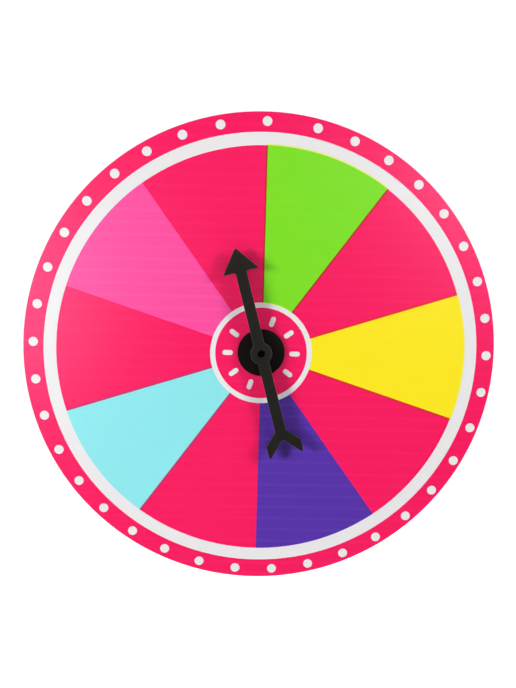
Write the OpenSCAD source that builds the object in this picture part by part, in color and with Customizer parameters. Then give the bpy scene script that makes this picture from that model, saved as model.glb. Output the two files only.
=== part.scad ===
// Prize spinner board: a round printed sheet with a free-turning arrow at its centre.
// The board stands upright and its printed face looks along -Y, with +Z up.
// The origin is on the spindle axis, at the shoulder where the stem steps down to its plug end.
// Sizes are in millimetres.

/* [Board] */
// Diameter of the cut disc
board_d = 400; // [260:1:700]
// Thickness of the twin-wall sheet
board_t = 5; // [3:0.1:10]
// Thickness of the sheet's front and back skins
skin_t = 0.4; // [0.2:0.05:1]
// Thickness of the ribs between the flutes
rib_t = 0.3; // [0.2:0.05:1]
// Distance from one rib to the next
rib_pitch = 5.08; // [3:0.01:12]
// Height of one rib above the spindle axis, which places all the others
rib_shift = 0.7; // [-5:0.05:5]
// Distance of the cut disc's centre to the left of the spindle axis
cut_left = 0.92; // [-3:0.01:3]
// Distance of the cut disc's centre below the spindle axis
cut_down = 0.33; // [-3:0.01:3]

/* [Printed face] */
// Distance of the print's centre below the spindle axis
print_down = 0.7; // [-1:0.05:1]
// Thickness of the printed film
film_t = 0.2; // [0.1:0.05:0.5]
// Width of the dotted band between the cut edge and the white ring
band_w = 16; // [12:0.1:24]
// Width of the white ring
ring_w = 10.7; // [4:0.1:20]
// Number of sectors
sector_count = 10; // [10:2:20]
// Direction of the first sector's right-hand edge, counted from the right-hand side
first_edge = 18; // [0:1:36]
// Outer diameter of the small ring round the spindle
small_ring_d = 86.7; // [70:0.1:120]
// Width of the small ring
small_ring_w = 4.35; // [2:0.05:8]
// Diameter of a dot in the band
dot_d = 7.86; // [4:0.01:10]
// Distance of the dots' circle from the cut edge
dot_inset = 7.4; // [5:0.1:10]
// Number of dots, with the one at the top
dot_count = 37; // [10:1:37]
// Angle from the top dot to the next one on its right
top_gap = 12.5; // [8:0.1:15]
// Angle between the other dots
dot_pitch = 9.6; // [8:0.1:9.6]
// Width of a tick inside the small ring
tick_w = 4.2; // [2:0.1:6]
// Length of a tick
tick_l = 9; // [5:0.1:12]
// Distance between a tick's outer end and the small ring
tick_gap = 6; // [2:0.1:8]

/* [Spindle] */
// Diameter of the black base disc
base_d = 40; // [30:0.1:60]
// Thickness of the base disc
base_t = 2.4; // [1.5:0.1:5]
// Radius of the base disc's front edge
base_edge = 0.6; // [0.2:0.1:1]
// Diameter of the stem that passes through the board
stem_d = 10; // [8:0.1:14]
// Clearance round the stem, in radius
stem_clear = 0.25; // [0.1:0.05:0.5]
// Length of stem left free behind the nut
stem_tail = 2; // [0.5:0.1:8]
// Diameter of the plug end
plug_d = 8; // [5:0.1:9]
// Length of the plug end
plug_l = 10; // [5:0.1:30]
// Chamfer on the plug end
plug_chamfer = 0.8; // [0.2:0.1:1.5]
// Diameter of the back washer
washer_d = 30; // [20:0.1:50]
// Thickness of the back washer
washer_t = 1.5; // [0.8:0.1:3]
// Width of the nut across its flats
nut_af = 17; // [15:0.1:24]
// Height of the nut
nut_h = 5; // [3:0.1:10]

/* [Bearing and screw] */
// Outer diameter of the ball bearing
bearing_d = 7; // [6:0.1:9]
// Width of the ball bearing
bearing_w = 3; // [2.5:0.1:5]
// Thickness of each bearing ring at its shoulders
ring_t = 0.6; // [0.45:0.05:0.8]
// Depth of the ball groove in each ring
groove_t = 0.2; // [0.1:0.05:0.3]
// Number of balls
ball_count = 7; // [5:1:7]
// Clearance between a ball and its groove or cage
ball_clear = 0.04; // [0.02:0.01:0.06]
// Thickness of the ball cage across the balls
cage_t = 0.5; // [0.3:0.05:0.6]
// Height of the ball cage
cage_h = 1.8; // [1.4:0.1:2]
// Thickness of a bearing shield
shield_t = 0.2; // [0.1:0.05:0.3]
// Gap between a shield and the inner ring
shield_gap = 0.1; // [0.05:0.05:0.2]
// Depth of a shield below the face of its ring
shield_sink = 0.05; // [0.02:0.01:0.1]
// Height of the seat that lifts the bearing off the base disc
seat_h = 0.6; // [0.4:0.1:2]
// Diameter of the pivot screw's shank
screw_d = 3; // [2.5:0.1:3.2]
// Clearance between the screw and the bearing, in radius
screw_clear = 0.01; // [0.01:0.01:0.05]
// Length of the pivot screw below its head
screw_l = 12; // [8:0.1:16]
// Diameter of the screw's head
head_d = 5; // [4.5:0.1:5.6]
// Height of the screw's head
head_h = 1.2; // [0.8:0.1:2]
// Width of the driver socket across its flats
socket_af = 2; // [1.3:0.1:2.5]
// Depth of the driver socket
socket_t = 0.7; // [0.4:0.1:0.8]
// Thickness of the shim under the screw's head
shim_t = 0.3; // [0.1:0.05:0.5]

/* [Arrow] */
// Angle of the arrow to the left of straight up, when it has stopped as it is stored
arrow_turn = 15.36; // [0:0.01:360]
// Thickness of the arrow's plate
arrow_t = 3; // [2.4:0.1:5]
// Thickness of the web in front of the bearing
web_t = 2.9; // [2:0.1:5]
// Distance of the tip from the spindle axis
tip_y = 91.8; // [80:0.1:140]
// Distance of the head's base from the spindle axis
head_y = 71.1; // [60:0.1:75]
// Width of the head
head_w = 31.1; // [20:0.1:40]
// Width of the shaft at the head
neck_w = 9.5; // [6:0.1:12]
// Width of the shaft beside the hub
shaft_w = 9.4; // [6:0.1:12]
// Distance of the tail's root from the spindle axis
tail_y = 68.4; // [55:0.1:70]
// Width of the shaft at the tail's root
tail_root_w = 9.8; // [6:0.1:12]
// Width of the tail
tail_w = 30.2; // [20:0.1:40]
// Length of the slope from the tail's root out to its full width
tail_slope = 10.9; // [8:0.1:20]
// Length of the tail's straight sides
tail_side = 8.3; // [3:0.1:20]
// Length of the tail's two points beyond the straight sides
tail_point = 3.6; // [1:0.1:6]
// Distance between the tail's two points
point_w = 28.4; // [16:0.1:30]
// Depth of the notch in the tail
notch_t = 15; // [5:0.1:16]
// Radius of the arrow's outer corners
corner_r = 0.7; // [0.4:0.1:1.2]
// Radius of the arrow's inner corners
inner_r = 1.5; // [0.5:0.1:3]
// Diameter of the hub
hub_d = 18.3; // [16:0.1:30]
// Running gap between the hub and the base disc
hub_gap = 0.3; // [0.3:0.05:1]
// Clearance round the screw's head, in radius
head_clear = 0.65; // [0.15:0.05:0.7]
// Thickness of the walls round the hollow back of the arrow
wall_t = 1.5; // [1:0.1:2.5]
// Thickness of the arrow's front along the shaft and hub
shaft_skin = 1.4; // [1:0.1:2.2]
// Thickness of the arrow's front at the head
head_skin = 2; // [1:0.01:2.2]
// Thickness of the arrow's front at the tail, which balances the head
tail_skin = 1.63; // [1:0.01:2.2]
// Number of cross ribs in each half of the shaft
cross_ribs = 3; // [1:1:6]
// Thickness of the ribs in the arrow's back
back_rib_t = 1; // [0.6:0.1:2]
// Wall of the boss that holds the bearing
boss_wall = 1.8; // [1:0.1:3]
// Number of ribs between the bearing boss and the hub's wall
hub_ribs = 6; // [3:1:12]

/* [Hidden] */
$fn = 120;

// A little more than nothing, so that a cut runs past the face it opens
past = 1;

// Heights along the spindle axis, counted forwards from the origin
nut_z = stem_tail;
washer_z = nut_z + nut_h;
board_z = washer_z + washer_t;
film_z = board_z + board_t;
base_z = film_z + film_t;
seat_z = base_z + base_t;
bearing_z = seat_z + seat_h;
bearing_mid = bearing_z + bearing_w / 2;
web_z = bearing_z + bearing_w;
front_z = web_z + web_t;
hub_z = seat_z + hub_gap;
plate_z = front_z - arrow_t;
shim_z = web_z;
head_z = shim_z + shim_t;

// Radii of the printed face
board_r = board_d / 2;
ring_r = board_r - band_w;
face_r = ring_r - ring_w;
small_ring_r = small_ring_d / 2;
centre_r = small_ring_r - small_ring_w;
sector_angle = 360 / sector_count;
stem_hole_r = stem_d / 2 + stem_clear;

// Radii of the bearing
bore_r = screw_d / 2 + screw_clear;
inner_land_r = bore_r + ring_t;
outer_land_r = bearing_d / 2 - ring_t;
ball_path_r = (inner_land_r + outer_land_r) / 2;
ball_r = (outer_land_r - inner_land_r) / 2 + groove_t - ball_clear;
shield_r = outer_land_r + ring_t / 2;
shield_hole_r = inner_land_r + shield_gap;
shield_seat = bearing_w / 2 - shield_sink - shield_t;

access_r = head_d / 2 + head_clear;
tail_shoulder_y = tail_y + tail_slope;
tail_side_y = tail_shoulder_y + tail_side;
tail_point_y = tail_side_y + tail_point;

// Outline of the arrow, anticlockwise from the tip, each corner with its radius
ARROW = [
    [0, tip_y, corner_r],
    [-head_w / 2, head_y, corner_r],
    [-neck_w / 2, head_y, inner_r],
    [-shaft_w / 2, 0, 0],
    [-tail_root_w / 2, -tail_y, inner_r],
    [-tail_w / 2, -tail_shoulder_y, corner_r * 2],
    [-tail_w / 2, -tail_side_y, corner_r],
    [-point_w / 2, -tail_point_y, corner_r],
    [0, notch_t - tail_point_y, inner_r],
    [point_w / 2, -tail_point_y, corner_r],
    [tail_w / 2, -tail_side_y, corner_r],
    [tail_w / 2, -tail_shoulder_y, corner_r * 2],
    [tail_root_w / 2, -tail_y, inner_r],
    [shaft_w / 2, 0, 0],
    [neck_w / 2, head_y, inner_r],
    [head_w / 2, head_y, corner_r],
];
// Straight pieces in each rounded corner
ARC_STEPS = 6;

CRIMSON = [0.97, 0.13, 0.38];
WHITE = [0.93, 0.93, 0.93];
GREEN = [0.5, 0.88, 0.17];
YELLOW = [0.98, 0.91, 0.15];
VIOLET = [0.35, 0.21, 0.65];
CYAN = [0.55, 0.91, 0.91];
PINK = [0.99, 0.32, 0.63];
SHEET = [0.9, 0.91, 0.91];
BLACK = [0.07, 0.07, 0.07];
GREY = [0.16, 0.16, 0.16];
STEEL = [0.72, 0.73, 0.75];

// Sector that each ink other than crimson fills, counted anticlockwise from the first edge
GREEN_SECTOR = 1;
PINK_SECTOR = 3;
CYAN_SECTOR = 5;
VIOLET_SECTOR = 7;
YELLOW_SECTOR = 9;

function unit(v) = v / norm(v);
function flat(p) = [p[0], p[1]];
function cross_z(a, b) = a[0] * b[1] - a[1] * b[0];
function inward(a, b) = let (e = unit(b - a)) [-e[1], e[0]];
function before(pts, i) = flat(pts[(i + len(pts) - 1) % len(pts)]);
function after(pts, i) = flat(pts[(i + 1) % len(pts)]);

// The same outline with sharp corners, moved inwards by d all round
function inset(pts, d) = [
    for (i = [0 : len(pts) - 1])
        let (
            n1 = inward(before(pts, i), flat(pts[i])),
            n2 = inward(flat(pts[i]), after(pts, i))
        )
        flat(pts[i]) + (n1 + n2) * d / (1 + n1 * n2)
];

// Points of one corner: an arc of radius r at b, between the sides towards a and c
function corner(a, b, c, r) =
    let (
        u = unit(a - b),
        w = unit(c - b),
        half = acos(u * w) / 2,
        centre = b + unit(u + w) * r / sin(half),
        start = b + u * r / tan(half) - centre,
        from = atan2(start[1], start[0]),
        sweep = (180 - 2 * half) * (cross_z(b - a, c - b) > 0 ? 1 : -1)
    )
    [for (k = [0 : ARC_STEPS]) centre + r * [
        cos(from + sweep * k / ARC_STEPS),
        sin(from + sweep * k / ARC_STEPS)
    ]];

// Points of an outline with its corners rounded
function rounded(pts) = [
    for (i = [0 : len(pts) - 1])
        each pts[i][2] == 0
            ? [flat(pts[i])]
            : corner(before(pts, i), flat(pts[i]), after(pts, i), pts[i][2])
];

// Turns a piece from its bench position, face up, to upright with its face along -Y
module upright() {
    rotate([90, 0, 0])
        children();
}

// Turns a piece of the arrow's body to where the arrow has stopped
module stopped() {
    upright()
        rotate(arrow_turn)
            children();
}

// A ring or tube from one height to another
module tube(outer_r, inner_r, from, to) {
    translate([0, 0, from])
        difference() {
            cylinder(r = outer_r, h = to - from);
            translate([0, 0, -past])
                cylinder(r = inner_r, h = to - from + 2 * past);
        }
}

// Board

module cut_disc_2d() {
    translate([-cut_left, -cut_down])
        circle(r = board_r);
}

module board() {
    flute_h = rib_pitch - rib_t;
    flute_t = board_t - 2 * skin_t;
    reach = board_r - rib_t;
    first = ceil((-cut_down - reach - rib_shift) / rib_pitch);
    last = floor((reach - cut_down - rib_shift) / rib_pitch) - 1;
    color(SHEET)
        upright()
            difference() {
                translate([0, 0, board_z])
                    linear_extrude(board_t)
                        cut_disc_2d();
                for (i = [first : last])
                    translate([
                        -cut_left - board_r - past,
                        rib_shift + i * rib_pitch + rib_t / 2,
                        board_z + skin_t
                    ])
                        cube([board_d + 2 * past, flute_h, flute_t]);
                translate([0, 0, board_z - past])
                    cylinder(r = stem_hole_r, h = board_t + 2 * past);
            }
}

// Printed face, a film in seven inks

module film() {
    upright()
        translate([0, 0, film_z])
            linear_extrude(film_t)
                children();
}

// Places a printed shape about the print's own centre
module at_print() {
    translate([0, -print_down])
        children();
}

module sector_2d(index) {
    from = first_edge + index * sector_angle;
    to = from + sector_angle;
    intersection() {
        difference() {
            circle(r = face_r);
            circle(r = small_ring_r);
        }
        polygon([
            [0, 0],
            2 * face_r * [cos(from), sin(from)],
            2 * face_r * [cos(to), sin(to)]
        ]);
    }
}

module ring_2d(outer_r, inner_r) {
    difference() {
        circle(r = outer_r);
        circle(r = inner_r);
    }
}

module dots_2d() {
    angles = concat([90], [for (i = [0 : dot_count - 2]) 90 - top_gap - i * dot_pitch]);
    for (a = angles)
        rotate(a)
            translate([board_r - dot_inset, 0])
                circle(d = dot_d, $fn = 32);
}

module ticks_2d() {
    outer_end = centre_r - tick_gap - tick_w / 2;
    for (i = [0 : sector_count - 1])
        rotate(first_edge + (i + 0.5) * sector_angle)
            translate([outer_end, 0]) {
                circle(d = tick_w, $fn = 32);
                translate([tick_w - tick_l, 0])
                    circle(d = tick_w, $fn = 32);
                translate([tick_w - tick_l, -tick_w / 2])
                    square([tick_l - tick_w, tick_w]);
            }
}

module white_2d() {
    ring_2d(ring_r, face_r);
    ring_2d(small_ring_r, centre_r);
    dots_2d();
    ticks_2d();
}

module print_crimson() {
    color(CRIMSON)
        film()
            difference() {
                cut_disc_2d();
                at_print() {
                    white_2d();
                    for (i = [GREEN_SECTOR, PINK_SECTOR, CYAN_SECTOR, VIOLET_SECTOR, YELLOW_SECTOR])
                        sector_2d(i);
                }
                circle(r = stem_hole_r);
            }
}

module print_white() {
    color(WHITE)
        film()
            intersection() {
                cut_disc_2d();
                at_print()
                    white_2d();
            }
}

module print_green() {
    color(GREEN)
        film()
            at_print()
                sector_2d(GREEN_SECTOR);
}

module print_yellow() {
    color(YELLOW)
        film()
            at_print()
                sector_2d(YELLOW_SECTOR);
}

module print_violet() {
    color(VIOLET)
        film()
            at_print()
                sector_2d(VIOLET_SECTOR);
}

module print_cyan() {
    color(CYAN)
        film()
            at_print()
                sector_2d(CYAN_SECTOR);
}

module print_pink() {
    color(PINK)
        film()
            at_print()
                sector_2d(PINK_SECTOR);
}

// Spindle: the base disc and stem, clamped to the board by the washer and nut

module spindle_base() {
    base_r = base_d / 2;
    color(BLACK)
        upright()
            difference() {
                union() {
                    translate([0, 0, -plug_l])
                        cylinder(r1 = plug_d / 2 - plug_chamfer, r2 = plug_d / 2, h = plug_chamfer);
                    translate([0, 0, plug_chamfer - plug_l])
                        cylinder(d = plug_d, h = plug_l - plug_chamfer);
                    cylinder(d = stem_d, h = base_z);
                    translate([0, 0, base_z])
                        rotate_extrude() {
                            square([base_r, base_t - base_edge]);
                            square([base_r - base_edge, base_t]);
                            translate([base_r - base_edge, base_t - base_edge])
                                circle(r = base_edge, $fn = 32);
                        }
                    translate([0, 0, seat_z])
                        cylinder(r = inner_land_r, h = seat_h);
                }
                translate([0, 0, head_z - screw_l - past])
                    cylinder(d = screw_d, h = screw_l + 2 * past);
            }
}

module back_washer() {
    color(STEEL)
        upright()
            tube(washer_d / 2, stem_hole_r, washer_z, washer_z + washer_t);
}

module back_nut() {
    point_r = nut_af / 2 / cos(30);
    bevel = point_r - nut_af / 2;
    color(STEEL)
        upright()
            translate([0, 0, nut_z])
                difference() {
                    intersection() {
                        cylinder(r = point_r, h = nut_h, $fn = 6);
                        rotate_extrude()
                            polygon([
                                [0, 0],
                                [nut_af / 2, 0],
                                [point_r + bevel, bevel],
                                [point_r + bevel, nut_h - bevel],
                                [nut_af / 2, nut_h],
                                [0, nut_h]
                            ]);
                    }
                    translate([0, 0, -past])
                        cylinder(d = stem_d, h = nut_h + 2 * past);
                }
}

// Ball bearing, drawn about its own middle

module in_bearing() {
    stopped()
        translate([0, 0, bearing_mid])
            children();
}

module groove() {
    rotate_extrude()
        translate([ball_path_r, 0])
            circle(r = ball_r + ball_clear, $fn = 32);
}

// Copies of a piece spaced evenly round the balls' path
module at_balls() {
    for (i = [0 : ball_count - 1])
        rotate(i * 360 / ball_count)
            translate([ball_path_r, 0, 0])
                children();
}

module bearing_inner_ring() {
    color(STEEL)
        in_bearing()
            difference() {
                tube(inner_land_r, bore_r, -bearing_w / 2, bearing_w / 2);
                groove();
            }
}

module bearing_outer_ring() {
    color(STEEL)
        in_bearing()
            difference() {
                tube(bearing_d / 2, outer_land_r, -bearing_w / 2, bearing_w / 2);
                groove();
                for (side = [0, 1])
                    mirror([0, 0, side])
                        translate([0, 0, shield_seat])
                            cylinder(r = shield_r, h = bearing_w);
            }
}

module bearing_balls() {
    color(STEEL)
        in_bearing()
            at_balls()
                sphere(r = ball_r, $fn = 24);
}

module bearing_cage() {
    color(STEEL)
        in_bearing()
            difference() {
                tube(ball_path_r + cage_t / 2, ball_path_r - cage_t / 2, -cage_h / 2, cage_h / 2);
                at_balls()
                    rotate([0, 90, 0])
                        cylinder(r = ball_r + ball_clear, h = 2 * cage_t, center = true, $fn = 24);
            }
}

module bearing_shields() {
    color(STEEL)
        in_bearing()
            for (side = [0, 1])
                mirror([0, 0, side])
                    tube(shield_r, shield_hole_r, shield_seat, shield_seat + shield_t);
}

// Pivot screw and its shim, seen down the hole in the hub

module shim_washer() {
    color(STEEL)
        upright()
            tube(inner_land_r, bore_r, shim_z, shim_z + shim_t);
}

module pivot_screw() {
    tip = screw_d / 4;
    color(BLACK)
        upright()
            difference() {
                union() {
                    translate([0, 0, head_z - screw_l])
                        cylinder(r1 = screw_d / 2 - tip, r2 = screw_d / 2, h = tip);
                    translate([0, 0, head_z - screw_l + tip])
                        cylinder(d = screw_d, h = screw_l - tip);
                    translate([0, 0, head_z])
                        cylinder(d = head_d, h = head_h);
                }
                translate([0, 0, head_z + head_h - socket_t])
                    cylinder(d = socket_af / cos(30), h = socket_t + past, $fn = 6);
            }
}

// Arrow: a moulded plate with a deep hub, hollowed from behind

module arrow_plate() {
    translate([0, 0, plate_z])
        linear_extrude(arrow_t)
            polygon(rounded(ARROW));
}

// The hollow behind the plate: a strip of the inset outline, less the cross ribs in it
module plate_hollow(from_y, to_y, skin, ribs) {
    room = (to_y - from_y) / (ribs + 1);
    translate([0, 0, plate_z - past])
        linear_extrude(arrow_t - skin + past)
            difference() {
                intersection() {
                    polygon(inset(ARROW, wall_t));
                    translate([-head_w - tail_w, from_y])
                        square([2 * (head_w + tail_w), to_y - from_y]);
                }
                for (i = [1 : ribs])
                    translate([-shaft_w, from_y + i * room - back_rib_t / 2])
                        square([2 * shaft_w, back_rib_t]);
            }
}

module hub_hollow() {
    boss_r = bearing_d / 2 + boss_wall;
    difference() {
        tube(hub_d / 2 - wall_t, boss_r, hub_z - past, front_z - shaft_skin);
        for (i = [0 : hub_ribs - 1])
            rotate(i * 360 / hub_ribs)
                translate([0, -back_rib_t / 2, hub_z])
                    cube([hub_d / 2, back_rib_t, front_z - hub_z]);
    }
}

module arrow() {
    hub_r = hub_d / 2;
    color(GREY)
        stopped()
            difference() {
                union() {
                    arrow_plate();
                    translate([0, 0, hub_z])
                        cylinder(d = hub_d, h = front_z - hub_z);
                }
                plate_hollow(head_y, tip_y, head_skin, 0);
                plate_hollow(hub_r, head_y - back_rib_t, shaft_skin, cross_ribs);
                plate_hollow(-tail_y, -hub_r, shaft_skin, cross_ribs);
                plate_hollow(-tail_point_y, -tail_y - back_rib_t, tail_skin, 0);
                hub_hollow();
                translate([0, 0, hub_z - past])
                    cylinder(d = bearing_d, h = web_z - hub_z + past);
                translate([0, 0, hub_z])
                    cylinder(r = access_r, h = front_z - hub_z + past);
            }
}

board();
print_crimson();
print_white();
print_green();
print_yellow();
print_violet();
print_cyan();
print_pink();
spindle_base();
back_washer();
back_nut();
bearing_inner_ring();
bearing_outer_ring();
bearing_balls();
bearing_cage();
bearing_shields();
shim_washer();
pivot_screw();
arrow();
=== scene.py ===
import math

import bmesh
import bpy
from mathutils import Matrix, Vector


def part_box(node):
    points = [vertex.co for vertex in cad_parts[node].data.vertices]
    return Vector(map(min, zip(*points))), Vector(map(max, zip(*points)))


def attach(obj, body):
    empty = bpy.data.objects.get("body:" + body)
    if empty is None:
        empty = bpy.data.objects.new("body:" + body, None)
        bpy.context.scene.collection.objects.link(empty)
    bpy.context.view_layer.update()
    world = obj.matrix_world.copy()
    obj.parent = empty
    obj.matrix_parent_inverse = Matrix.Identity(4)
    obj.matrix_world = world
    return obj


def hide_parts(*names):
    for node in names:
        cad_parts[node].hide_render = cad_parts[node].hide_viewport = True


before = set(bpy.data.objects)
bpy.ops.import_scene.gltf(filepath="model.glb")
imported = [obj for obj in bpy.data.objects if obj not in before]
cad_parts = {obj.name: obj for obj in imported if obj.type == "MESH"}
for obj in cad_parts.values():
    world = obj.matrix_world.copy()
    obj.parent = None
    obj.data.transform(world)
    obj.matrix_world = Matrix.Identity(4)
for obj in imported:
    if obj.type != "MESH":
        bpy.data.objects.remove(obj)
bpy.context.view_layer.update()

# A prize spinner board: a round printed sheet that stands upright with its face along -Y,
# and an arrow on a ball bearing at its centre. Sizes are in metres.

MM = 0.001

# Sizes that the finishes and the added pieces share with the solids
RIB_PITCH = 5.08 * MM
RIB_HEIGHT = 0.7 * MM
PRINT_DOWN = 0.7 * MM
FACE_RADIUS = 173.3 * MM
SMALL_RADIUS = 43.35 * MM
ARROW_TURN = math.radians(15.36)
STEM_RADIUS = 5 * MM
BORE_RADIUS = 3.15 * MM
ARROW_FRONT = -22.6 * MM
BEARING_FRONT = -19.7 * MM
BEARING = (
    "bearing_inner_ring", "bearing_outer_ring", "bearing_balls", "bearing_cage", "bearing_shields")

# Angles between faces, under which they count as flat, as smooth, and as rounded already
FLAT = math.radians(0.5)
SMOOTH = math.radians(35)
ROUNDED = math.radians(40)

# The camera as the photograph was taken: where it stood, and how it was turned, in degrees
CAMERA_PLACE = (-0.0238, -0.77327, 0.12271)
CAMERA_TURN = (8.6633176, 1.45926445, -1.44018047)
LENS = 47.37
SENSOR = 36

# The studio, with the strength of its white room and of its soft light from all sides
FLOOR_HEIGHT = -0.5
FLOOR_RADIUS = 1.9
FLOOR_GLOW = 0.62
PANEL_REACH = 3
ROOM_GLOW = 1.05
AMBIENT_GLOW = 0.08

# Turns what was laid out flat upright, so that what pointed up points to -Y
UPRIGHT = Matrix(((1, 0, 0, 0), (0, 0, -1, 0), (0, 1, 0, 0), (0, 0, 0, 1)))

BLACK = (0, 0, 0, 1)
WHITE = (1, 1, 1, 1)


def srgb(red, green, blue):
    """A colour as a paint chart gives it, from 0 to 255, as a shader takes it."""
    def linear(value):
        value /= 255
        return value / 12.92 if value <= 0.04045 else ((value + 0.055) / 1.055) ** 2.4
    return (linear(red), linear(green), linear(blue), 1)


def shade(colour, share):
    """The same colour, lighter where share is above 1 and darker where it is below."""
    return tuple(min(1.0, c * share) for c in colour[:3]) + (1,)


def placed(name, data):
    """A new object in the scene, at the origin."""
    piece = bpy.data.objects.new(name, data)
    bpy.context.scene.collection.objects.link(piece)
    return piece


class Nodes:
    """A node tree in the making."""

    def __init__(self, tree):
        self.tree = tree

    def join(self, node, sockets):
        """Sets each socket to its value, or links it to the output that gives the value."""
        for name, value in sockets.items():
            socket = node.inputs[name]
            if isinstance(value, bpy.types.NodeSocket):
                self.tree.links.new(value, socket)
            else:
                socket.default_value = value

    def add(self, kind, sockets=None, **settings):
        """Adds a node, and gives its outputs."""
        node = self.tree.nodes.new(kind)
        for name, value in settings.items():
            setattr(node, name, value)
        self.join(node, sockets or {})
        return node.outputs

    def math(self, operation, *values):
        """The outcome of a sum or comparison."""
        return self.add("ShaderNodeMath", dict(enumerate(values)), operation=operation)[0]


# Finishes

class Finish(Nodes):
    """A material in the making, laid out on the object's own coordinates."""

    def __init__(self, name, sockets):
        self.material = bpy.data.materials.new(name)
        self.material.use_nodes = True
        super().__init__(self.material.node_tree)
        self.shader = self.tree.nodes["Principled BSDF"]
        self.join(self.shader, sockets)
        self.place = self.add("ShaderNodeTexCoord")["Object"]
        self.across, self.depth, self.height = self.add(
            "ShaderNodeSeparateXYZ", {"Vector": self.place})

    def fade(self, value, start, end, low=0.0, high=1.0):
        """Goes smoothly from low to high as value goes from start to end."""
        sockets = {
            "Value": value, "From Min": start, "From Max": end, "To Min": low, "To Max": high}
        return self.add("ShaderNodeMapRange", sockets, interpolation_type="SMOOTHSTEP")[0]

    def band(self, value, start, end, soft):
        """1 where value is between start and end and 0 beyond, with edges that soft."""
        rise = self.fade(value, start - soft, start + soft)
        fall = self.fade(value, end - soft, end + soft, 1, 0)
        return self.math("MULTIPLY", rise, fall)

    def distance(self, first, second):
        """How far from an axis a point is, from its distances along the other two axes."""
        squares = [self.math("POWER", side, 2.0) for side in (first, second)]
        return self.math("SQRT", self.math("ADD", *squares))

    def noise(self, size, detail=2.0, stretch=(1, 1, 1)):
        """Soft random patches of about that size, drawn out along an axis by stretch."""
        scale = [1 / (size * s) for s in stretch]
        place = self.add("ShaderNodeMapping", {"Vector": self.place, "Scale": scale})[0]
        sockets = {"Vector": place, "Scale": 1.0, "Detail": detail}
        return self.add("ShaderNodeTexNoise", sockets)["Fac"]

    def mix(self, factor, first, second):
        """The first colour where factor is 0, and the second where it is 1."""
        sockets = {0: factor, 6: first, 7: second}
        return self.add("ShaderNodeMix", sockets, data_type="RGBA")[2]

    def bump(self, height, distance, under=None):
        """Relief of that height at most, on top of the relief under it."""
        sockets = {"Height": height, "Distance": distance, "Strength": 1.0}
        if under is not None:
            sockets["Normal"] = under
        return self.add("ShaderNodeBump", sockets)[0]

    def paint(self, tone, relief, rough):
        """Ends the finish, and gives its material."""
        self.join(self.shader, {"Base Color": tone, "Normal": relief, "Roughness": rough})
        return self.material


# Where the crimson and another ink run over each other: the direction of their border in degrees,
# where the line starts and ends beside it in millimetres, and the colour of both inks together
OVERRUNS = (
    (-162, -1, 0.23, srgb(180, 50, 108)),
    (-126, -0.45, 0.95, srgb(180, 50, 108)),
    (-18, -0.9, 0.35, srgb(216, 42, 12)),
    (18, 0, 1.35, srgb(222, 45, 22)),
    (54, -0.35, 0.95, srgb(178, 40, 12)),
    (90, -0.9, 0.3, srgb(174, 40, 12)),
)

# Where the yellow in an ink runs over a white ring: the middle of its sector in degrees, and how
# far from the centre of the print the fringe starts and ends
FRINGES = (
    (72, FACE_RADIUS - MM, FACE_RADIUS + 1.1 * MM),
    (72, SMALL_RADIUS - 0.6 * MM, SMALL_RADIUS + MM),
    (0, FACE_RADIUS - MM, FACE_RADIUS + 0.8 * MM),
)

HALF_SECTOR = math.radians(18)
BORDER_BLUR = math.radians(0.1)
PRINT_BLUR = 0.2 * MM
STREAK_WIDTH = 2.4 * MM


def rib_streaks(finish):
    """Level streaks over the sheet's ribs, of which every second one is stronger."""
    above = finish.math("SUBTRACT", finish.height, RIB_HEIGHT)
    every = finish.math("PINGPONG", above, RIB_PITCH / 2)
    second = finish.math("PINGPONG", finish.math("SUBTRACT", above, RIB_PITCH), RIB_PITCH)
    weak = finish.fade(every, 0, STREAK_WIDTH, 0.15, 0)
    strong = finish.fade(second, 0, STREAK_WIDTH, 0.85, 0)
    return finish.math("ADD", weak, strong)


def ink(name, colour, depth=0.0, veil=0.0, gloss=0.45, cast=WHITE):
    """Printed film over a fine grain, with faint paler streaks over the sheet's ribs: painted
    sheen and shade of their slight relief.

    Depth is how much darker the ink is between the streaks, as painted shade, and veil how much
    white they add, as painted sheen.
    Gloss is how strongly it mirrors, and cast the colour of what it mirrors."""
    finish = Finish(name, {"Specular IOR Level": gloss, "Specular Tint": cast})
    ribs = rib_streaks(finish)
    broken = finish.fade(finish.noise(14 * MM, stretch=(5, 1, 0.5)), 0.3, 0.7, 0.6, 1)
    streaks = finish.math("MULTIPLY", ribs, broken)
    between = finish.math("SUBTRACT", 1.0, streaks)
    grain = finish.noise(0.5 * MM, detail=3)
    patches = finish.noise(70 * MM, detail=0.0)
    tone = finish.mix(grain, shade(colour, 0.97), shade(colour, 1.03))
    tone = finish.mix(finish.fade(patches, 0.1, 0.9, 0, 0.5), tone, shade(colour, 0.98))
    # Painted shade between the rib streaks, and painted sheen along them
    tone = finish.mix(finish.math("MULTIPLY", between, depth), tone, BLACK)
    tone = finish.mix(finish.math("MULTIPLY", streaks, veil), tone, WHITE)
    relief = finish.bump(ribs, 0.012 * MM)
    relief = finish.bump(finish.noise(2.4 * MM), 0.006 * MM, relief)
    rough = finish.fade(patches, 0.1, 0.9, 0.245, 0.268)
    return finish, tone, relief, rough


def round_the_print(finish):
    """How far a point is from the centre of the print, and in which direction."""
    above = finish.math("ADD", finish.height, PRINT_DOWN)
    reach = finish.distance(finish.across, above)
    return reach, finish.math("ARCTAN2", above, finish.across)


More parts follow.
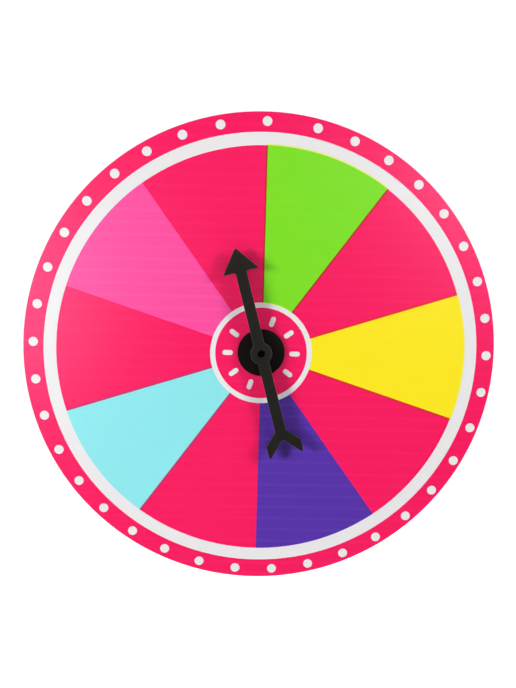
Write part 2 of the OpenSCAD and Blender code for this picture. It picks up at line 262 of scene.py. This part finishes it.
def coloured_ink(name, colour, **film):
    """Ink of the sectors, with darker lines where two inks run over each other."""
    finish, tone, relief, rough = ink(name, colour, **film)
    reach, angle = round_the_print(finish)
    sectors = finish.math(
        "COMPARE", reach, (FACE_RADIUS + SMALL_RADIUS) / 2, (FACE_RADIUS - SMALL_RADIUS) / 2)
    for border, start, end, both in OVERRUNS:
        turned = finish.math("SUBTRACT", angle, math.radians(border))
        beside = finish.math("MULTIPLY", reach, turned)
        line = finish.band(beside, start * MM, end * MM, PRINT_BLUR)
        tone = finish.mix(finish.math("MULTIPLY", line, sectors), tone, both)
    return finish.paint(tone, relief, rough)


def white_ink(name, colour, fringe):
    """White ink, with pale edges where the yellow in the green and yellow inks runs over it."""
    finish, tone, relief, rough = ink(name, colour)
    reach, angle = round_the_print(finish)
    for middle, start, end in FRINGES:
        turn = math.radians(middle)
        sector = finish.band(angle, turn - HALF_SECTOR, turn + HALF_SECTOR, BORDER_BLUR)
        arc = finish.band(reach, start, end, PRINT_BLUR)
        tone = finish.mix(finish.math("MULTIPLY", sector, arc), tone, fringe)
    return finish.paint(tone, relief, rough)


def twin_wall(name, colour):
    """Milky plastic sheet: its ribs show through the skins, which are drawn along the flutes."""
    finish = Finish(name, {"Specular IOR Level": 0.4})
    above = finish.math("SUBTRACT", finish.height, RIB_HEIGHT)
    nearest = finish.math("PINGPONG", above, RIB_PITCH / 2)
    ribs = finish.fade(nearest, 0.1 * MM, 0.7 * MM, 1, 0)
    drawn = finish.noise(1.2 * MM, stretch=(60, 1, 1))
    cloud = finish.noise(60 * MM)
    tone = finish.mix(ribs, shade(colour, 0.93), colour)
    tone = finish.mix(finish.fade(drawn, 0.4, 0.7, 0, 0.35), tone, shade(colour, 0.95))
    tone = finish.mix(finish.fade(cloud, 0.4, 0.7, 0, 0.4), tone, shade(colour, 0.96))
    relief = finish.bump(ribs, 0.05 * MM)
    relief = finish.bump(drawn, 0.02 * MM, relief)
    return finish.paint(tone, relief, finish.fade(drawn, 0.3, 0.7, 0.36, 0.46))


def moulded(name, colour, roughness, gloss, bore=0.0):
    """Matt plastic with the fine sparked texture of its mould, and painted shade down a bore."""
    finish = Finish(name, {"Specular IOR Level": gloss})
    sparks = finish.noise(0.35 * MM, detail=3)
    flow = finish.noise(9 * MM, stretch=(1, 1, 3))
    tone = finish.mix(sparks, shade(colour, 0.85), shade(colour, 1.15))
    tone = finish.mix(finish.fade(flow, 0.4, 0.7, 0, 0.5), tone, shade(colour, 1.25))
    # Painted shade: inside the bore and behind the front face the colour goes nearly black
    if bore:
        reach = finish.distance(finish.across, finish.height)
        inside = finish.fade(reach, bore, bore + 0.2 * MM, 0.9, 0)
        below = finish.fade(finish.depth, ARROW_FRONT + 0.05 * MM, ARROW_FRONT + 0.3 * MM)
        tone = finish.mix(finish.math("MULTIPLY", inside, below), tone, BLACK)
    relief = finish.bump(sparks, 0.02 * MM)
    relief = finish.bump(flow, 0.03 * MM, relief)
    rough = finish.fade(flow, 0.3, 0.7, roughness - 0.05, roughness + 0.05)
    return finish.paint(tone, relief, rough)


def steel(name, colour, dull, roughness, scratch, painted_shade_front=None):
    """Plated or ground steel with fine scratches and dull patches, and, where a depth is given,
    painted shade that makes it nearly black in front of that depth.
    """
    finish = Finish(name, {"Metallic": 1.0})
    scratches = finish.noise(scratch, detail=4, stretch=(8, 1, 1))
    patches = finish.noise(3 * MM, detail=3)
    tone = finish.mix(finish.fade(patches, 0.35, 0.65), colour, dull)
    # Painted shade: the steel goes nearly black in front of the given depth
    if painted_shade_front is not None:
        painted_shade = finish.fade(finish.depth, painted_shade_front, painted_shade_front + 0.5 * MM, 0.97, 0)
        tone = finish.mix(painted_shade, tone, BLACK)
    rough = finish.fade(patches, 0.3, 0.7, roughness, roughness + 0.14)
    return finish.paint(tone, finish.bump(scratches, 0.004 * MM), rough)


INKS = {
    "print_crimson": coloured_ink(
        "crimson_ink", srgb(255, 16, 94), depth=0.026, veil=0.004, gloss=0.72,
        cast=(0.62, 0.62, 1, 1)),
    "print_white": white_ink("white_ink", srgb(232, 230, 232), fringe=srgb(238, 236, 125)),
    "print_green": coloured_ink("green_ink", srgb(125, 224, 31), depth=0.012, veil=0.003),
    "print_yellow": coloured_ink("yellow_ink", srgb(254, 232, 22), depth=0.01, veil=0.002),
    "print_violet": coloured_ink("violet_ink", srgb(90, 50, 174), depth=0.08, veil=0.0075),
    "print_cyan": coloured_ink("cyan_ink", srgb(141, 231, 236), depth=0.01, veil=0.003),
    "print_pink": coloured_ink("pink_ink", srgb(255, 75, 160), depth=0.03, veil=0.019),
}
SHEET = twin_wall("milky_twin_wall", srgb(232, 234, 234))
BLACK_PLASTIC = moulded("black_moulded_plastic", srgb(16, 12, 8), roughness=0.45, gloss=0.09)
GREY_PLASTIC = moulded(
    "dark_grey_moulded_plastic", srgb(32, 30, 27), roughness=0.45, gloss=0.12, bore=BORE_RADIUS)
# The arrow's front edges: polished by handling, so glossier, and lighter in colour as a painted
# highlight
POLISHED_EDGE_HIGHLIGHT = moulded("rubbed_grey_edges", srgb(72, 69, 65), roughness=0.4, gloss=0.35)
ZINC = steel(
    "zinc_plated_steel", srgb(196, 198, 203), dull=srgb(168, 171, 178), roughness=0.3,
    scratch=0.12 * MM)
# The bearing's front, seen through the gap round the screw, is painted in shade, nearly black
GROUND_STEEL = steel(
    "ground_bearing_steel", srgb(190, 192, 196), dull=srgb(150, 152, 158), roughness=0.2,
    scratch=0.06 * MM, painted_shade_front=BEARING_FRONT)
SCREW_BLACK = steel(
    "blackened_screw_steel", srgb(14, 14, 15), dull=srgb(8, 8, 9), roughness=0.4,
    scratch=0.08 * MM)

NODE_MATERIALS = {
    **INKS,
    **dict.fromkeys(BEARING, GROUND_STEEL),
    "board": SHEET,
    "arrow": GREY_PLASTIC,
    "spindle_base": BLACK_PLASTIC,
    "back_washer": ZINC,
    "back_nut": ZINC,
    "shim_washer": ZINC,
    "pivot_screw": SCREW_BLACK,
}


def coat(node, material):
    """Gives a CAD node its only material."""
    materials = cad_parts[node].data.materials
    materials.clear()
    materials.append(material)


# Pieces that stand for CAD nodes with their edges softened

def softened(node, name, width, body, edge_highlight=None, elsewhere=1.0, sharp_bore=0.0):
    """A copy of a node: its triangles merged into whole faces, and its sharp edges rounded.

    Its front edges can have a material of their own: polished, so glossier, and lighter in colour
    as a painted highlight. Its other edges are rounded by a share of the width, and those inside
    its bore stay sharp."""
    form = bmesh.new()
    form.from_mesh(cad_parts[node].data)
    bmesh.ops.remove_doubles(form, verts=form.verts, dist=0.001 * MM)
    bmesh.ops.dissolve_limit(form, angle_limit=FLAT, verts=form.verts, edges=form.edges)
    corners = [v.co.copy() for v in form.verts]
    form.verts.index_update()
    faces = [[v.index for v in face.verts] for face in form.faces]
    form.free()
    mesh = bpy.data.meshes.new(name)
    mesh.from_pydata(corners, [], faces)
    mesh.shade_smooth()
    mesh.set_sharp_from_angle(angle=SMOOTH)
    weigh_edges(mesh, elsewhere, sharp_bore)
    mesh.materials.append(NODE_MATERIALS[node])
    if edge_highlight:
        mesh.materials.append(edge_highlight)
    piece = placed(name, mesh)
    bevel = piece.modifiers.new("edges", "BEVEL")
    bevel.width = width
    bevel.segments = 3
    bevel.limit_method = "WEIGHT"
    bevel.use_clamp_overlap = False
    bevel.harden_normals = True
    # The rounded front edges take the second material, whose lighter colour is a painted highlight
    bevel.material = 1 if edge_highlight else 0
    made_plain(piece)
    front = min(v.co.y for v in piece.data.vertices) + width
    for face in piece.data.polygons:
        if face.center.y > front:
            face.material_index = 0
    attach(piece, body)
    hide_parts(node)


def weigh_edges(mesh, elsewhere, sharp_bore):
    """Marks the sharp edges to be rounded: fully round the front face, and by a share elsewhere.

    Edges nearer to the axis than sharp_bore stay sharp."""
    form = bmesh.new()
    form.from_mesh(mesh)
    weight = form.edges.layers.float.new("bevel_weight_edge")
    front = min(v.co.y for v in form.verts) + 0.01 * MM
    for edge in form.edges:
        if len(edge.link_faces) == 2 and edge.calc_face_angle() > ROUNDED:
            at_front = all(v.co.y < front for v in edge.verts)
            at_bore = all(math.hypot(v.co.x, v.co.z) < sharp_bore for v in edge.verts)
            edge[weight] = 0.0 if at_bore else 1.0 if at_front else elsewhere
    form.to_mesh(mesh)
    form.free()


def made_plain(piece):
    """Swaps a piece's live modifiers for the mesh that they make."""
    bpy.context.view_layer.update()
    shaped = piece.evaluated_get(bpy.context.evaluated_depsgraph_get())
    mesh = bpy.data.meshes.new_from_object(shaped)
    piece.modifiers.clear()
    piece.data = mesh
    mesh.name = piece.name


# Repeated detail, made by geometry nodes

class Pattern(Nodes):
    """A geometry node tree with named inputs, run on one new piece."""

    def __init__(self, name, **sizes):
        super().__init__(bpy.data.node_groups.new(name, "GeometryNodeTree"))
        self.name = name
        self.sizes = sizes
        interface = self.tree.interface
        interface.new_socket("Geometry", in_out="OUTPUT", socket_type="NodeSocketGeometry")
        for size, value in sizes.items():
            kind = "NodeSocketInt" if isinstance(value, int) else "NodeSocketFloat"
            interface.new_socket(size, in_out="INPUT", socket_type=kind)
        self.inputs = self.add("NodeGroupInput")

    def shape(self, kind, sockets):
        """Adds a node, and gives what it makes."""
        return self.add(kind, sockets)[0]

    def piece(self, geometry, material, body, slot, place):
        """Ends the tree, runs it, and leaves a plain mesh at its place that rides on a body."""
        real = self.shape("GeometryNodeRealizeInstances", {"Geometry": geometry})
        painted = self.shape("GeometryNodeSetMaterial", {"Geometry": real, "Material": material})
        self.add("NodeGroupOutput", {0: painted})
        piece = placed(self.name, bpy.data.meshes.new(self.name))
        modifier = piece.modifiers.new(self.name, "NODES")
        modifier.node_group = self.tree
        for item in self.tree.interface.items_tree:
            if item.in_out == "INPUT":
                modifier[item.identifier] = self.sizes[item.name]
        made_plain(piece)
        piece.data.transform(place)
        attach(piece, body)


def stem_thread():
    """The thread's ridge on the end of the stem that stands clear of the nut."""
    pattern = Pattern(
        "stem_thread", turns=1.1, pitch=1.5 * MM, radius=STEM_RADIUS - 0.1 * MM, ridge=0.32 * MM)
    sizes = pattern.inputs
    rise = pattern.math("MULTIPLY", sizes["turns"], sizes["pitch"])
    path = pattern.shape("GeometryNodeCurveSpiral", {
        "Resolution": 48, "Rotations": sizes["turns"], "Start Radius": sizes["radius"],
        "End Radius": sizes["radius"], "Height": rise})
    profile = pattern.shape("GeometryNodeCurvePrimitiveCircle", {
        "Resolution": 6, "Radius": sizes["ridge"]})
    ridge = pattern.shape("GeometryNodeCurveToMesh", {
        "Curve": path, "Profile Curve": profile, "Fill Caps": True})
    place = UPRIGHT @ Matrix.Translation((0, 0, 0.35 * MM))
    pattern.piece(ridge, BLACK_PLASTIC, "fixed_board", "black_plastic", place)


def ejector_marks():
    """Round marks that the mould's pins left in the arrow's hollow back, one in each bay."""
    pattern = Pattern(
        "ejector_marks", count=4, spacing=15 * MM, radius=1.4 * MM, height=0.12 * MM,
        first=16.6 * MM)
    sizes = pattern.inputs
    step = pattern.shape("ShaderNodeCombineXYZ", {"Y": sizes["spacing"]})
    start = pattern.shape("ShaderNodeCombineXYZ", {"Y": sizes["first"]})
    points = pattern.shape("GeometryNodeMeshLine", {
        "Count": sizes["count"], "Start Location": start, "Offset": step})
    mark = pattern.shape("GeometryNodeMeshCylinder", {
        "Vertices": 24, "Radius": sizes["radius"], "Depth": sizes["height"]})
    row = pattern.shape("GeometryNodeInstanceOnPoints", {"Points": points, "Instance": mark})
    turned = pattern.shape("GeometryNodeTransform", {
        "Geometry": row, "Rotation": (0, 0, math.pi)})
    both = pattern.shape("GeometryNodeJoinGeometry", {"Geometry": row})
    pattern.join(both.node, {"Geometry": turned})
    depth = -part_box("arrow")[0].y - 1.4 * MM
    place = UPRIGHT @ Matrix.Rotation(ARROW_TURN, 4, "Z") @ Matrix.Translation((0, 0, depth))
    pattern.piece(both, GREY_PLASTIC, "turning_arrow", "grey_plastic", place)


for node, material in NODE_MATERIALS.items():
    coat(node, material)

softened(
    "arrow", "arrow_moulding", 0.32 * MM, "turning_arrow",
    edge_highlight=POLISHED_EDGE_HIGHLIGHT, elsewhere=0.3, sharp_bore=BORE_RADIUS + MM)
softened("spindle_base", "spindle_moulding", 0.15 * MM, "fixed_board")
softened("back_washer", "rolled_washer", 0.2 * MM, "fixed_board")
softened("back_nut", "turned_nut", 0.15 * MM, "fixed_board")
softened("pivot_screw", "socket_screw", 0.1 * MM, "fixed_board")
stem_thread()
ejector_marks()


# Studio

def camera():
    """The camera that took the photograph."""
    data = bpy.data.cameras.new("camera")
    data.lens = LENS
    data.sensor_width = SENSOR
    data.clip_start = 0.01
    data.clip_end = 50
    turn = Vector(CAMERA_TURN)
    seen = Matrix.Rotation(math.radians(turn.length), 4, turn.normalized())
    piece = placed("camera", data)
    piece.matrix_world = Matrix.Translation(CAMERA_PLACE) @ UPRIGHT @ seen.transposed()
    bpy.context.scene.camera = piece


def lamp(name, place, size, power):
    """A square soft box that faces the middle of the board."""
    data = bpy.data.lights.new(name, "AREA")
    data.shape = "SQUARE"
    data.size = size
    data.energy = power
    piece = placed(name, data)
    piece.location = place
    piece.rotation_mode = "QUATERNION"
    piece.rotation_quaternion = (-Vector(place)).to_track_quat("-Z", "Y")
    return piece


def mirrored_panel(name, side, height, size, glow):
    """A large lit panel beside the camera that the print mirrors, and that adds no other light."""
    width, tall = size
    place = PANEL_REACH * Vector((side, -math.sqrt(1 - side * side - height * height), height))
    panel = lamp(name, place, width, math.pi * width * tall * glow)
    panel.data.shape = "RECTANGLE"
    panel.data.size_y = tall
    panel.visible_diffuse = False


def surroundings():
    """A white room to the camera and behind the board, and plain soft light on the object."""
    world = bpy.data.worlds.new("studio")
    bpy.context.scene.world = world
    world.use_nodes = True
    world.node_tree.nodes.clear()
    nodes = Nodes(world.node_tree)
    rays = nodes.add("ShaderNodeLightPath")
    direction = nodes.add("ShaderNodeTexCoord")["Generated"]
    depth = nodes.add("ShaderNodeSeparateXYZ", {"Vector": direction})["Y"]
    # Shiny surfaces mirror only the part of the room that is behind the board
    behind = nodes.add("ShaderNodeMapRange", {"Value": depth, "From Max": 0.25})[0]
    mirrored = nodes.math("MULTIPLY", rays["Is Glossy Ray"], behind)
    seen = nodes.math("MAXIMUM", rays["Is Camera Ray"], rays["Is Transmission Ray"])
    white = nodes.math("MAXIMUM", nodes.math("MULTIPLY", seen, ROOM_GLOW), mirrored)
    soft = nodes.math("SUBTRACT", 1.0, rays["Is Glossy Ray"])
    ambient = nodes.math("MULTIPLY", soft, AMBIENT_GLOW)
    strength = nodes.math("MAXIMUM", white, ambient)
    light = nodes.add("ShaderNodeBackground", {"Color": WHITE, "Strength": strength})[0]
    nodes.add("ShaderNodeOutputWorld", {"Surface": light})


def floor():
    """A round pale floor under the board, which fades into the white room."""
    mesh = bpy.data.meshes.new("floor")
    form = bmesh.new()
    bmesh.ops.create_circle(form, cap_ends=True, segments=96, radius=FLOOR_RADIUS)
    form.to_mesh(mesh)
    form.free()
    mesh.transform(Matrix.Translation((0, 0, FLOOR_HEIGHT)))
    finish = Finish("pale_floor", {"Specular IOR Level": 0.0, "Roughness": 1.0})
    reach = finish.distance(finish.across, finish.depth)
    grain = finish.noise(20 * MM)
    rays = finish.add("ShaderNodeLightPath")
    matt = finish.math("SUBTRACT", 1.0, rays["Is Glossy Ray"])
    edge = finish.fade(reach, FLOOR_RADIUS / 2, FLOOR_RADIUS, 1, 0)
    finish.join(finish.shader, {
        "Base Color": finish.mix(grain, shade(WHITE, 0.68), shade(WHITE, 0.72)),
        "Emission Color": WHITE,
        "Emission Strength": finish.math("MULTIPLY", rays["Is Camera Ray"], FLOOR_GLOW),
        "Alpha": finish.math("MULTIPLY", edge, matt)})
    mesh.materials.append(finish.material)
    placed("floor", mesh)


camera()
surroundings()
floor()
for plain_lamp in (
        lamp("soft_box_left", (-1.8, -1.04, 0.25), size=0.6, power=40),
        lamp("soft_box_right", (1.62, -0.96, 0.79), size=0.46, power=26.6),
        lamp("front_fill", (0, -3, 0.3), size=2.4, power=4)):
    plain_lamp.visible_glossy = False
lamp("back_box_left", (1.1, 1.3, 0.7), size=0.8, power=13)
lamp("back_box_right", (-1.1, 1.3, 0.7), size=0.8, power=13)
mirrored_panel("panel_left", side=-0.442, height=-0.048, size=(1.3, 0.9), glow=4.7)
mirrored_panel("panel_right", side=0.457, height=0.155, size=(1.03, 0.59), glow=11.7)

bpy.context.scene.view_settings.view_transform = "Standard"
